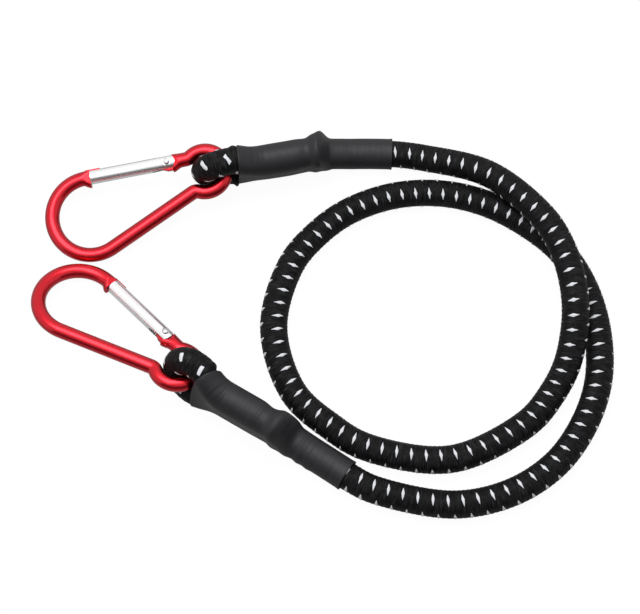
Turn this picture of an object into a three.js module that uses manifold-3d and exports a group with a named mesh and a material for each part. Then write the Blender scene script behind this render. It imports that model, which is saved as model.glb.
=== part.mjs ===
// Bungee cord: an elastic cord with a carabiner sewn into an eye at each end.
// Millimetres, +Z up. The cord lies in one loose loop on the plane z = 0.
import * as THREE from "three";
import { mergeVertices } from "three/addons/utils/BufferGeometryUtils.js";
import Module from "manifold-3d";

const wasm = await Module();
wasm.setup();
const deg = THREE.MathUtils.degToRad;

// Cord: a rubber core in a braided jacket
const cord_diameter = 12;
const jacket_wall = 0.7;
const core_gap = 0.3;
const joint_gap = 0.3;
const cord_sides = 8;
const free_steps = 60;
const eye_steps = 50;

// Eye and doubled part
const eye_gap = 0.3;
const strand_gap = 0.3;
const fork_length = 19;
const twist_length = 16;
const slope_step = 0.2;
const splice_depth = 6;
const splice_lead = 2;

// Heat-shrink sleeve
const sleeve_wall = 0.6;
const sleeve_gap = 0.36;
const mouth_offset = 6.5;
const sleeve_length_a = 69.4;
const sleeve_length_b = 71.2;
const ground_gap = 0.05;
const section_points = 20;

// Crimped clamp band under the sleeve
const clamp_wall = 0.9;
const clamp_width = 5;
const clamp_gap = 0.3;
const clamp_place_a = 43;
const clamp_place_b = 45.5;
const clamp_ramp = 3;
const lift_ramp = 13;
const clamp_cover = 0.3;
const tail_stub = 0.8;
const tail_slope = 5;

// Carabiner body: a bent round rod
const rod_diameter = 6.5;
const gate_span = 39;
const bow_radius = 17.6;
const bow_setback = 2.6;
const spine_offset = 4.91;
const small_reach = 12.5;
const small_rise = 7.12;
const notch_gap = 0.25;
const rod_sides = 12;
const bow_steps = 20;
const small_steps = 18;
const notch_steps = 4;

// Flared ends of the rod at the gate
const flare_length = 4;
const flare_inner = 4.9;
const flare_outer = 3.45;
const flare_thickness = 4.6;

// Gate, its slots and its hinge
const gate_diameter = 6.4;
const gate_clearance = 0.3;
const gate_sides = 16;
const tongue_thickness = 2.3;
const tongue_half_width = 2.6;
const tongue_reach = 3.2;
const tongue_heel = 3.9;
const hinge_setback = 3.6;
const hinge_clearance = 0.35;
const slot_margin = 1.3;
const nose_tab_length = 5;
const nose_tab_top = 0.6;
const nose_tab_bottom = 3.5;
const window_length = 2.6;
const window_width = 2;
const rivet_diameter = 1.8;
const rivet_clearance = 0.2;
const rivet_head_diameter = 3;
const rivet_head_height = 0.45;
const rivet_seat_depth = 0.35;
const rivet_flat_share = 0.6;

// Spring and plunger inside the gate
const bore_diameter = 3.5;
const plunger_diameter = 2.9;
const plunger_length = 5;
const plunger_dome = 0.35;
const plunger_nose_share = 0.55;
const spring_wire = 0.45;
const spring_diameter = 3;
const spring_curls = 9;
const spring_pitch = 1.2;
const spring_steps = 8;
const spring_sides = 5;
const cut_over = 1;
const merge_distance = 1e-5;
const round_sides = 32;
const hole_sides = 12;

// How the ends lie: the cord's eye, its heading, lean and where the sleeve stops
const eye_x_a = -42.5;
const eye_y_a = 61.5;
const eye_x_b = -54.2;
const eye_y_b = -38.1;
const ends = [
  {
    name: "a", eye_x: eye_x_a, eye_y: eye_y_a, sleeve_length: sleeve_length_a, clamp_place: clamp_place_a,
    heading_eye: deg(12.1), heading_fork: deg(10.6), heading_cut: deg(-1.4),
    lean_eye: deg(-11.2), lean_sleeve: deg(-16.8), slew: deg(-1.6),
  },
  {
    name: "b", eye_x: eye_x_b, eye_y: eye_y_b, sleeve_length: sleeve_length_b, clamp_place: clamp_place_b,
    heading_eye: deg(-36.4), heading_fork: deg(-30.7), heading_cut: deg(-33.9),
    lean_eye: deg(17.8), lean_sleeve: deg(-5.6), slew: deg(-11.7),
  },
];
// Middle of the box round both ends, which becomes the origin
const middle_x = -47.3;
const middle_y = -3.1;

// Free cord from the cut end of sleeve a to that of sleeve b, chosen by hand
const route = [
  [47.4, 69.5, 7.4], [76.1, 58.3, 14.5], [98.8, 35.8, 19.1], [106.2, 22.5, 19.1], [110.3, 8, 18.6],
  [111.7, -6.1, 16.8], [110.6, -18.9, 13.2], [107.4, -31.2, 8.9], [100.8, -43, 6.4], [90.6, -55.1, 6.2],
  [64, -70, 6.2], [47.5, -72.3, 6.2], [18.8, -66.1, 6.2], [5.3, -57.8, 6.2], [-11.6, -41.8, 6.2],
  [-20.4, -12, 6.2], [-13.1, 17.4, 6.2], [-2, 32, 6.2], [13, 43.7, 6.2], [34, 51.4, 6.2],
  [56, 52.3, 6.2], [76, 47.1, 6.2], [94.6, 36.3, 6.2], [108.1, 24, 6.2], [117.6, 7, 6.2],
  [122.4, -14, 6.2], [121.7, -36.2, 6.2], [114.6, -56, 6.2], [101.6, -73.9, 6.2], [82, -86.7, 6.2],
  [57, -92, 6.2], [23.2, -85.6, 6.7],
];

const cord_radius = cord_diameter / 2;
const rod_radius = rod_diameter / 2;
const gate_radius = gate_diameter / 2;
const eye_radius = rod_radius + eye_gap + cord_radius;
// The small end of the carabiner lies in one circle round the cord
const small_radius = eye_radius;
const strand_half = cord_radius + strand_gap / 2;
const notch_radius = rod_radius + notch_gap;
const up = new THREE.Vector3(0, 0, 1);

const finishes = {
  body: new THREE.MeshStandardMaterial({ color: 0xc8142a, roughness: 0.3, metalness: 0.7 }),
  gate: new THREE.MeshStandardMaterial({ color: 0xd9dadb, roughness: 0.2, metalness: 1 }),
  steel: new THREE.MeshStandardMaterial({ color: 0xb9bbbd, roughness: 0.35, metalness: 1 }),
  braid: new THREE.MeshStandardMaterial({ color: 0x17171a, roughness: 0.85, metalness: 0 }),
  rubber: new THREE.MeshStandardMaterial({ color: 0xd8cfb8, roughness: 0.7, metalness: 0 }),
  sleeve: new THREE.MeshStandardMaterial({ color: 0x2b2b2d, roughness: 0.6, metalness: 0 }),
};

function ease(t) {
  const clipped = Math.min(Math.max(t, 0), 1);
  return clipped * clipped * (3 - 2 * clipped);
}

function mix(from, to, share) {
  return from + (to - from) * share;
}

// Evenly spaced values from one number up to, but without, the next
function spread(from, to, parts) {
  return Array.from({ length: parts }, (_, k) => mix(from, to, k / parts));
}

// Solids for joining and cutting
function to_solid(geometry) {
  geometry.deleteAttribute("normal");
  geometry.deleteAttribute("uv");
  const merged = mergeVertices(geometry, merge_distance);
  const vertProperties = new Float32Array(merged.attributes.position.array);
  const triVerts = new Uint32Array(merged.index.array);
  return new wasm.Manifold(new wasm.Mesh({ numProp: 3, vertProperties, triVerts }));
}

function to_geometry(solid) {
  const mesh = solid.getMesh();
  const geometry = new THREE.BufferGeometry();
  geometry.setAttribute("position", new THREE.Float32BufferAttribute(mesh.vertProperties, mesh.numProp));
  geometry.setIndex(Array.from(mesh.triVerts));
  return geometry;
}

// Skin through rings of points, closed at both ends or, with inner rings, left open as a tube
function skin(outer, inner) {
  const positions = [];
  const index = [];
  const count = outer[0].length;
  const add_rings = (rings) => {
    const first = positions.length / 3;
    rings.forEach((ring) => ring.forEach((point) => positions.push(...point.toArray())));
    return first;
  };
  const side = (first, rings, outward) => {
    for (let row = 0; row < rings - 1; row += 1) {
      for (let k = 0; k < count; k += 1) {
        const next = (k + 1) % count;
        const a = first + row * count + k;
        const b = first + row * count + next;
        const c = a + count;
        const d = b + count;
        index.push(...(outward ? [a, d, b, a, c, d] : [a, b, d, a, d, c]));
      }
    }
  };
  const outer_first = add_rings(outer);
  side(outer_first, outer.length, true);
  const last_row = (outer.length - 1) * count;
  if (inner) {
    const inner_first = add_rings(inner);
    side(inner_first, inner.length, false);
    for (let k = 0; k < count; k += 1) {
      const next = (k + 1) % count;
      const o = outer_first;
      const i = inner_first;
      index.push(o + k, i + next, i + k, o + k, o + next, i + next);
      const far_o = o + last_row;
      const far_i = i + last_row;
      index.push(far_o + k, far_i + k, far_i + next, far_o + k, far_i + next, far_o + next);
    }
  } else {
    for (let k = 1; k < count - 1; k += 1) {
      index.push(outer_first, outer_first + k, outer_first + k + 1);
      index.push(last_row, last_row + k + 1, last_row + k);
    }
  }
  const geometry = new THREE.BufferGeometry();
  geometry.setAttribute("position", new THREE.Float32BufferAttribute(positions, 3));
  geometry.setIndex(index);
  return geometry;
}

function polygon(radius, sides) {
  const corners = [];
  for (let k = 0; k < sides; k += 1) {
    const angle = (2 * Math.PI * k) / sides;
    corners.push(new THREE.Vector2(radius * Math.cos(angle), radius * Math.sin(angle)));
  }
  return corners;
}

function tube_along(path, steps, radius, sides, bore) {
  const section = new THREE.Shape(polygon(radius, sides));
  if (bore) {
    section.holes.push(new THREE.Path(polygon(bore, sides)));
  }
  return new THREE.ExtrudeGeometry(section, { steps, extrudePath: path, bevelEnabled: false });
}

// Doubled part of the cord. s runs from the eye's centre along the sleeve.
function sleeve_end(end) {
  return mouth_offset + end.sleeve_length;
}

function tail_end(end) {
  return end.clamp_place + clamp_width / 2 + tail_stub;
}

function heading(end, s) {
  const bent = mix(end.heading_eye, end.heading_fork, ease(s / fork_length));
  return mix(bent, end.heading_cut, ease((s - fork_length) / (sleeve_end(end) - fork_length)));
}

function plan_point(end, s) {
  const slices = 32;
  const point = new THREE.Vector3(end.eye_x - middle_x, end.eye_y - middle_y, 0);
  for (let k = 0; k < slices; k += 1) {
    const angle = heading(end, (s * (k + 0.5)) / slices);
    point.x += (Math.cos(angle) * s) / slices;
    point.y += (Math.sin(angle) * s) / slices;
  }
  return point;
}

// One over the clamp band, falling to zero within the ramp beside it
function clamp_share(end, s, ramp) {
  const past_band = Math.abs(s - end.clamp_place) - clamp_width / 2 - clamp_cover;
  return 1 - ease(past_band / ramp);
}

// Room between the cord and the sleeve
function sleeve_room(end, s) {
  return sleeve_gap + (clamp_gap + clamp_wall) * clamp_share(end, s, clamp_ramp);
}

// Height of the lower strand: the sleeve lies on the ground, and the clamp band lifts the cord
function strand_height(end, s) {
  const lift = (clamp_gap + clamp_wall) * clamp_share(end, s, lift_ramp);
  const in_sleeve = cord_radius + sleeve_gap + lift + sleeve_wall;
  return mix(cord_radius, in_sleeve, ease(s / mouth_offset));
}

function station(end, s) {
  const angle = heading(end, s);
  const along = new THREE.Vector3(Math.cos(angle), Math.sin(angle), 0);
  const across = new THREE.Vector3(-Math.sin(angle), Math.cos(angle), 0);
  const lean = mix(end.lean_eye, end.lean_sleeve, ease(s / twist_length));
  const stack = across.clone().multiplyScalar(Math.sin(lean)).addScaledVector(up, Math.cos(lean));
  const half = mix(eye_radius, strand_half, (1 - Math.cos(Math.PI * Math.min(s / fork_length, 1))) / 2);
  const lower = plan_point(end, s).addScaledVector(across, -half * Math.sin(lean));
  lower.z = strand_height(end, s);
  const upper = lower.clone().addScaledVector(stack, 2 * half);
  return { along, across, stack, half, lower, upper };
}

// Centreline of the eye piece: up the lower strand, round the eye, back along the upper strand
class EyeLine extends THREE.Curve {
  constructor(end) {
    super();
    this.end = end;
    this.lower_length = sleeve_end(end) - splice_depth;
    this.bow_length = Math.PI * eye_radius;
    this.total = this.lower_length + this.bow_length + tail_end(end);
  }

  getPoint(t, target = new THREE.Vector3()) {
    const run = t * this.total;
    if (run < this.lower_length) {
      return target.copy(station(this.end, this.lower_length - run).lower);
    }
    if (run > this.lower_length + this.bow_length) {
      return target.copy(station(this.end, run - this.lower_length - this.bow_length).upper);
    }
    const { along, stack, lower, upper } = station(this.end, 0);
    const angle = (run - this.lower_length) / eye_radius;
    target.addVectors(lower, upper).multiplyScalar(0.5);
    target.addScaledVector(along, -eye_radius * Math.sin(angle));
    return target.addScaledVector(stack, -eye_radius * Math.cos(angle));
  }
}

// Sideways drift of each strand per millimetre of s, which stretches its section
function drift(end, s) {
  const before = station(end, s - slope_step);
  const after = station(end, s + slope_step);
  const { along } = station(end, s);
  return ["lower", "upper"].map((strand) => {
    const move = after[strand].clone().sub(before[strand]).divideScalar(2 * slope_step);
    return move.addScaledVector(along, -move.dot(along));
  });
}

// Ring of points drawn tight round both strands at s, with room round the cord.
// Past the tail's end the upper strand's place sinks to the lower strand's.
function wrap(end, s, room) {
  const { across, lower, upper } = station(end, s);
  const sunk = lower.clone().lerp(upper, 1 - ease((s - tail_end(end)) / tail_slope));
  const [lower_drift, upper_drift] = drift(end, s);
  const strands = [
    { centre: lower, slant: lower_drift },
    { centre: sunk, slant: upper_drift },
  ];
  const facet = 1 / Math.cos(Math.PI / section_points);
  const ring = [];
  for (let k = 0; k < section_points; k += 1) {
    const angle = (2 * Math.PI * (k + 0.5)) / section_points - Math.PI / 2;
    const normal = across.clone().multiplyScalar(-Math.cos(angle)).addScaledVector(up, Math.sin(angle));
    const points = strands.map(({ centre, slant }) => {
      const lean = normal.dot(slant);
      const edge = normal.clone().addScaledVector(slant, lean).divideScalar(Math.hypot(1, lean));
      return centre.clone().addScaledVector(edge, cord_radius * facet).addScaledVector(normal, room * facet);
    });
    points.sort((p, q) => q.dot(normal) - p.dot(normal));
    const point = points[0];
    point.z = Math.max(point.z, 0);
    ring.push(point);
  }
  return ring;
}

function make_sleeve(end) {
  const band_from = end.clamp_place - clamp_width / 2 - clamp_cover;
  const band_to = end.clamp_place + clamp_width / 2 + clamp_cover;
  const stop = sleeve_end(end);
  const slope_end = tail_end(end) + tail_slope;
  const stations = [
    ...spread(mouth_offset, fork_length, 6),
    ...spread(fork_length, band_from - clamp_ramp, 4),
    ...spread(band_from - clamp_ramp, band_from, 2),
    band_from,
    band_to,
    ...spread(tail_end(end), slope_end, 4),
    ...spread(slope_end, stop, 3),
    stop,
  ];
  const inner = stations.map((s) => wrap(end, s, sleeve_room(end, s)));
  const outer = stations.map((s) => wrap(end, s, sleeve_room(end, s) + sleeve_wall));
  return skin(outer, inner);
}

function make_clamp(end) {
  const place = end.clamp_place;
  const stations = [place - clamp_width / 2, place, place + clamp_width / 2];
  const inner = stations.map((s) => wrap(end, s, clamp_gap));
  const outer = stations.map((s) => wrap(end, s, clamp_gap + clamp_wall));
  return skin(outer, inner);
}

// Carabiner, drawn flat: the gate lies along +x from the nose at x = 0, the spine on the +y side
const bow_centre = new THREE.Vector2(-bow_setback, bow_radius);
const small_centre = new THREE.Vector2(gate_span + small_reach, small_rise);
const to_small = small_centre.clone().sub(bow_centre);
const spine_rise = Math.asin((bow_radius - spine_offset) / to_small.length());
const spine_slope = spine_rise - Math.atan2(to_small.y, to_small.x);

function bend(centre, radius, from, to, steps) {
  const turn = Math.sign(to - from);
  const places = [];
  for (let k = 0; k <= steps; k += 1) {
    const angle = mix(from, to, k / steps);
    const x = centre.x + radius * Math.cos(angle);
    const y = centre.y + radius * Math.sin(angle);
    places.push({ x, y, heading: angle + (turn * Math.PI) / 2 });
  }
  return places;
}

function rod_places() {
  const along_spine = new THREE.Vector2(Math.cos(spine_slope), -Math.sin(spine_slope));
  const off_spine = new THREE.Vector2(Math.sin(spine_slope), Math.cos(spine_slope));
  const reach = small_radius + notch_radius;
  const offset = bow_centre.clone().addScaledVector(off_spine, bow_radius + notch_radius).sub(small_centre);
  const back = offset.dot(along_spine);
  const spine_length = -back - Math.sqrt(back * back - offset.lengthSq() + reach * reach);
  const notch = small_centre.clone().add(offset).addScaledVector(along_spine, spine_length);
  const notch_angle = Math.atan2(notch.y - small_centre.y, notch.x - small_centre.x);
  const neck_drop = notch_radius + small_centre.y;
  const neck_x = small_centre.x - Math.sqrt(reach * reach - neck_drop * neck_drop);
  const neck = new THREE.Vector2(neck_x, -notch_radius);
  const neck_angle = Math.atan2(neck.y - small_centre.y, neck.x - small_centre.x);
  const spine_angle = Math.PI / 2 - spine_slope;
  const pieces = [
    [0, -bow_setback].map((x) => ({ x, y: 0, heading: Math.PI })),
    bend(bow_centre, bow_radius, -Math.PI / 2, spine_angle - 2 * Math.PI, bow_steps).slice(1),
    bend(notch, notch_radius, -Math.PI / 2 - spine_slope, notch_angle - Math.PI, notch_steps),
    bend(small_centre, small_radius, notch_angle, neck_angle, small_steps).slice(1),
    bend(neck, notch_radius, neck_angle + Math.PI, Math.PI / 2, notch_steps).slice(1),
    [{ x: shoulder_plane(), y: 0, heading: Math.PI }],
  ];
  return pieces.flat();
}

function shoulder_plane() {
  const concave = hinge_setback + hinge_clearance;
  return rivet_x() + Math.sqrt(concave * concave - gate_radius * gate_radius);
}

function rivet_x() {
  return gate_span - hinge_setback;
}

// Rod sections swell on the inner side and thin down towards both gate joints
function make_rod() {
  const places = rod_places();
  const rings = [];
  const nose = places[0];
  const heel = places[places.length - 1];
  for (const place of places) {
    const nose_gap = Math.hypot(place.x - nose.x, place.y - nose.y);
    const heel_gap = Math.hypot(place.x - heel.x, place.y - heel.y);
    const flare = 1 - ease(Math.min(nose_gap, heel_gap) / flare_length);
    const inner = mix(rod_radius, flare_inner, flare);
    const outer = mix(rod_radius, flare_outer, flare);
    const half_thickness = mix(rod_radius, flare_thickness / 2, flare);
    const ring = [];
    for (let k = 0; k < rod_sides; k += 1) {
      const angle = (2 * Math.PI * (k + 0.5)) / rod_sides;
      const aside = Math.cos(angle) * (Math.cos(angle) > 0 ? inner : outer);
      const x = place.x + Math.sin(place.heading) * aside;
      const y = place.y - Math.cos(place.heading) * aside;
      ring.push(new THREE.Vector3(x, y, Math.sin(angle) * half_thickness));
    }
    rings.push(ring);
  }
  return skin(rings);
}

function plate(outline, thickness) {
  const options = { depth: thickness, bevelEnabled: false, curveSegments: 8 };
  const geometry = new THREE.ExtrudeGeometry(outline, options);
  return geometry.translate(0, 0, -thickness / 2);
}

function box_between(x0, x1, y0, y1, thickness) {
  const geometry = new THREE.BoxGeometry(x1 - x0, y1 - y0, thickness);
  return geometry.translate((x0 + x1) / 2, (y0 + y1) / 2, 0);
}

function pin(radius, length, sides) {
  return new THREE.CylinderGeometry(radius, radius, length, sides).rotateX(Math.PI / 2);
}

function make_body() {
  const x = rivet_x();
  const root = x + hinge_setback + hinge_clearance + cut_over;
  const tongue = new THREE.Shape();
  tongue.moveTo(x - tongue_reach, -tongue_half_width);
  tongue.lineTo(root, -tongue_half_width);
  tongue.lineTo(root, tongue_heel);
  tongue.lineTo(x, tongue_heel);
  tongue.lineTo(x - tongue_reach, tongue_half_width);
  const rivet_hole = new THREE.Path();
  rivet_hole.absarc(x, 0, rivet_diameter / 2 + rivet_clearance, 0, 2 * Math.PI, false);
  tongue.holes.push(rivet_hole);
  const relief = pin(hinge_setback + hinge_clearance, rod_diameter + cut_over, round_sides);
  relief.translate(x, 0, 0);
  const tab_root = -flare_length / 2;
  const tab = box_between(tab_root, nose_tab_length, -nose_tab_bottom, nose_tab_top, tongue_thickness);
  const solid = to_solid(make_rod())
    .subtract(to_solid(relief))
    .add(to_solid(plate(tongue, tongue_thickness)))
    .add(to_solid(tab));
  return to_geometry(solid);
}

function slot_thickness() {
  return tongue_thickness + 2 * gate_clearance;
}

function slot_end() {
  return rivet_x() - tongue_reach - slot_margin;
}

function plunger_tip() {
  return rivet_x() - tongue_reach - gate_clearance;
}

function spring_front() {
  return plunger_tip() - plunger_length - gate_clearance;
}

function spring_back() {
  return spring_front() - spring_curls * spring_pitch - spring_wire;
}

function make_gate() {
  const x = rivet_x();
  const nose = gate_clearance;
  const half = gate_radius + cut_over;
  const rim = Math.asin(gate_radius / hinge_setback);
  const outline = new THREE.Shape();
  outline.moveTo(nose, -half);
  outline.lineTo(x + hinge_setback * Math.cos(rim), -half);
  outline.absarc(x, 0, hinge_setback, -rim, rim, false);
  outline.lineTo(x + hinge_setback * Math.cos(rim), half);
  outline.lineTo(nose, half);
  const stock = new THREE.CylinderGeometry(gate_radius, gate_radius, 2 * gate_span, gate_sides);
  stock.rotateZ(Math.PI / 2);
  const bore_back = spring_back() - gate_clearance;
  const bore_length = gate_span + cut_over - bore_back;
  const bore = new THREE.CylinderGeometry(bore_diameter / 2, bore_diameter / 2, bore_length, gate_sides);
  bore.rotateZ(Math.PI / 2).translate(bore_back + bore_length / 2, 0, 0);
  const hinge_slot = box_between(slot_end(), gate_span + cut_over, -half, half, slot_thickness());
  const window = box_between(slot_end() - window_length, slot_end() + cut_over, 0, half, window_width);
  const nose_slot = box_between(
    nose - cut_over,
    nose_tab_length + gate_clearance * 2,
    -half,
    nose_tab_top + gate_clearance,
    slot_thickness(),
  );
  const rivet_hole = pin(rivet_diameter / 2 + rivet_clearance, gate_diameter + cut_over, hole_sides);
  rivet_hole.translate(x, 0, 0);
  let solid = to_solid(stock).intersect(to_solid(plate(outline, gate_diameter + cut_over)));
  for (const cut of [bore, hinge_slot, window, nose_slot, rivet_hole]) {
    solid = solid.subtract(to_solid(cut));
  }
  const seat_radius = rivet_head_diameter / 2 + rivet_clearance;
  for (const face of [-1, 1]) {
    const seat = pin(seat_radius, cut_over + rivet_seat_depth, gate_sides);
    seat.translate(x, 0, face * (gate_radius - rivet_seat_depth + (cut_over + rivet_seat_depth) / 2));
    solid = solid.subtract(to_solid(seat));
  }
  return to_geometry(solid);
}

function make_rivet() {
  const shank = rivet_diameter / 2;
  const head = rivet_head_diameter / 2;
  const under = gate_radius - rivet_seat_depth + rivet_clearance;
  const top = under + rivet_head_height;
  const shoulder = mix(under, top, 0.5);
  const profile = [
    [0, -top], [head * rivet_flat_share, -top], [head, -shoulder], [head, -under], [shank, -under],
    [shank, under], [head, under], [head, shoulder], [head * rivet_flat_share, top], [0, top],
  ].map(([radius, height]) => new THREE.Vector2(radius, height));
  const geometry = new THREE.LatheGeometry(profile, hole_sides).rotateX(Math.PI / 2);
  return geometry.translate(rivet_x(), 0, 0);
}

function make_plunger() {
  const radius = plunger_diameter / 2;
  const profile = [
    [0, 0], [radius, 0], [radius, plunger_length - plunger_dome],
    [radius * plunger_nose_share, plunger_length], [0, plunger_length],
  ].map(([r, height]) => new THREE.Vector2(r, height));
  const geometry = new THREE.LatheGeometry(profile, hole_sides).rotateZ(-Math.PI / 2);
  return geometry.translate(plunger_tip() - plunger_length, 0, 0);
}

// Spring: one unbroken wire
class Helix extends THREE.Curve {
  getPoint(t, target = new THREE.Vector3()) {
    const angle = 2 * Math.PI * spring_curls * t;
    const radius = (spring_diameter - spring_wire) / 2;
    const x = spring_back() + spring_wire / 2 + spring_curls * spring_pitch * t;
    return target.set(x, radius * Math.cos(angle), radius * Math.sin(angle));
  }
}

function make_spring() {
  const helix = new Helix();
  const steps = spring_curls * spring_steps;
  const points = helix.getSpacedPoints(steps);
  let least = Infinity;
  for (let i = 0; i < points.length; i += 1) {
    for (let j = i + spring_steps / 2; j < points.length; j += 1) {
      least = Math.min(least, points[i].distanceTo(points[j]) - spring_wire);
    }
  }
  console.log(`gate spring: least gap between curls ${least.toFixed(2)} mm`);
  return tube_along(helix, steps, spring_wire / 2, spring_sides);
}

// Lay each carabiner so that its bow just touches the ground
function lie_angle(end, places, pivot) {
  const { along, stack, lower, upper } = station(end, 0);
  const hinge = along.clone().cross(stack);
  const height = (lower.z + upper.z) / 2;
  const lowest = (tilt) => {
    const arm_z = stack.z * Math.sin(tilt) + along.z * Math.cos(tilt);
    let least = Infinity;
    for (const place of places) {
      const reach = new THREE.Vector2(place.x, place.y).sub(pivot);
      reach.rotateAround(new THREE.Vector2(), -end.slew);
      least = Math.min(least, height + reach.x * arm_z + reach.y * hinge.z - rod_radius);
    }
    return least;
  };
  let low = 0;
  let high = Math.PI / 6;
  for (let k = 0; k < 30; k += 1) {
    const middle = (low + high) / 2;
    if (lowest(middle) > ground_gap) {
      low = middle;
    } else {
      high = middle;
    }
  }
  return low;
}

function lay_carabiner(end, pieces) {
  const around = new THREE.Vector2(Math.cos(end.slew), Math.sin(end.slew)).multiplyScalar(small_radius);
  const pivot = small_centre.clone().add(around);
  const { along, stack, lower, upper } = station(end, 0);
  const hinge = along.clone().cross(stack);
  const tilt = lie_angle(end, rod_places(), pivot);
  const arm = along.clone().multiplyScalar(Math.cos(tilt)).addScaledVector(stack, Math.sin(tilt));
  const flat = new THREE.Group();
  const home = pivot.clone().rotateAround(new THREE.Vector2(), -end.slew);
  flat.rotation.z = -end.slew;
  flat.position.set(-home.x, -home.y, 0);
  for (const piece of pieces) {
    flat.add(piece);
  }
  const laid = new THREE.Group();
  laid.add(flat);
  laid.setRotationFromMatrix(new THREE.Matrix4().makeBasis(arm, hinge, arm.clone().cross(hinge)));
  laid.position.addVectors(lower, upper).multiplyScalar(0.5);
  return laid;
}

function named(name, geometry, material) {
  const mesh = new THREE.Mesh(geometry, material);
  mesh.name = name;
  return mesh;
}

function free_line() {
  const [a, b] = ends;
  const lead = (end) => {
    const splice = sleeve_end(end) - splice_depth + joint_gap;
    const stop = sleeve_end(end);
    const places = [splice, splice + splice_lead, stop - splice_lead / 2, stop + splice_lead];
    return places.map((s) => station(end, s).lower);
  };
  const middle = route.map(([x, y, z]) => new THREE.Vector3(x - middle_x, y - middle_y, z));
  return new THREE.CatmullRomCurve3([...lead(a), ...middle, ...lead(b).reverse()]);
}

const bungee_cord = new THREE.Group();
const bore_radius = cord_radius - jacket_wall;
const core_radius = bore_radius - core_gap;

const free = free_line();
const free_cover = tube_along(free, free_steps, cord_radius, cord_sides, bore_radius);
const free_core = tube_along(free, free_steps, core_radius, cord_sides);
bungee_cord.add(named("cord_cover", free_cover, finishes.braid));
bungee_cord.add(named("cord_core", free_core, finishes.rubber));

for (const end of ends) {
  const line = new EyeLine(end);
  const cover = tube_along(line, eye_steps, cord_radius, cord_sides, bore_radius);
  const core = tube_along(line, eye_steps, core_radius, cord_sides);
  bungee_cord.add(named(`eye_cover_${end.name}`, cover, finishes.braid));
  bungee_cord.add(named(`eye_core_${end.name}`, core, finishes.rubber));
  bungee_cord.add(named(`crimp_clamp_${end.name}`, make_clamp(end), finishes.steel));
  bungee_cord.add(named(`heat_shrink_sleeve_${end.name}`, make_sleeve(end), finishes.sleeve));
  bungee_cord.add(lay_carabiner(end, [
    named(`carabiner_body_${end.name}`, make_body(), finishes.body),
    named(`gate_${end.name}`, make_gate(), finishes.gate),
    named(`gate_rivet_${end.name}`, make_rivet(), finishes.steel),
    named(`gate_plunger_${end.name}`, make_plunger(), finishes.steel),
    named(`gate_spring_${end.name}`, make_spring(), finishes.steel),
  ]));
}

export default bungee_cord;
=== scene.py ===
# Bungee cord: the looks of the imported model. Metres, +Z up, in the part's own frame.
import math

import bmesh
import bpy
from mathutils import Matrix, Vector


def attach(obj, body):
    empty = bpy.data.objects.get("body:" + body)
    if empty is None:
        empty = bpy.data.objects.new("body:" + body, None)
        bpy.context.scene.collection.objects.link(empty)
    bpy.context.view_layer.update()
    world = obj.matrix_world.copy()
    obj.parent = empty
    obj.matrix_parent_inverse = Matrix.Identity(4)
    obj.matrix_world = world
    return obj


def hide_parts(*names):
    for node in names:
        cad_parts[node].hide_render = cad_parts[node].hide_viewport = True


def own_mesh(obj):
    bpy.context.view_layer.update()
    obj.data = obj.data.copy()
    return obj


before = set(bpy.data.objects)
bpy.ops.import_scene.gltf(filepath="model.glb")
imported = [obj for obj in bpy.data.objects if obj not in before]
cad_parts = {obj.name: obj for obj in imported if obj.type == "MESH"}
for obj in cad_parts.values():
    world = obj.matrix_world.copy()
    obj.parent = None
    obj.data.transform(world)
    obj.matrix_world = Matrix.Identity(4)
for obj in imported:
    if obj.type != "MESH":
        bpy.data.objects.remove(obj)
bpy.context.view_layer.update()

mm = 0.001
up = Vector((0, 0, 1))

# Sizes that the part's source gives
cord_radius = 6 * mm
eye_gap = 0.3 * mm
strand_gap = 0.3 * mm
fork_length = 19 * mm
twist_length = 16 * mm
splice_depth = 6 * mm
splice_lead = 2 * mm
joint_gap = 0.3 * mm
sleeve_wall = 0.6 * mm
sleeve_gap = 0.36 * mm
mouth_offset = 6.5 * mm
clamp_wall = 0.9 * mm
clamp_width = 5 * mm
clamp_gap = 0.3 * mm
clamp_ramp = 3 * mm
lift_ramp = 13 * mm
clamp_cover = 0.3 * mm
rod_radius = 3.25 * mm
gate_span = 39 * mm
bow_radius = 17.6 * mm
bow_setback = 2.6 * mm
spine_offset = 4.91 * mm
small_reach = 12.5 * mm
small_rise = 7.12 * mm
notch_gap = 0.25 * mm
flare_length = 4 * mm
flare_inner = 4.9 * mm
flare_outer = 3.45 * mm
flare_half = 2.3 * mm
gate_radius = 3.2 * mm
gate_clearance = 0.3 * mm
tongue_thickness = 2.3 * mm
tongue_half_width = 2.6 * mm
tongue_reach = 3.2 * mm
tongue_heel = 3.9 * mm
hinge_setback = 3.6 * mm
hinge_clearance = 0.35 * mm
slot_margin = 1.3 * mm
nose_tab_length = 5 * mm
nose_tab_top = 0.6 * mm
nose_tab_bottom = 3.5 * mm
window_length = 2.6 * mm
window_width = 2 * mm
rivet_radius = 0.9 * mm
rivet_head_radius = 1.5 * mm
rivet_head_height = 0.45 * mm
rivet_seat_depth = 0.35 * mm
rivet_clearance = 0.2 * mm
bore_radius = 1.75 * mm
plunger_radius = 1.45 * mm
plunger_length = 5 * mm
plunger_dome = 0.35 * mm
spring_wire = 0.45 * mm
spring_diameter = 3 * mm
spring_curls = 9
spring_pitch = 1.2 * mm
plunger_travel = 1 * mm
cut_over = 1 * mm
middle = Vector((-47.3 * mm, -3.1 * mm, 0))

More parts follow.
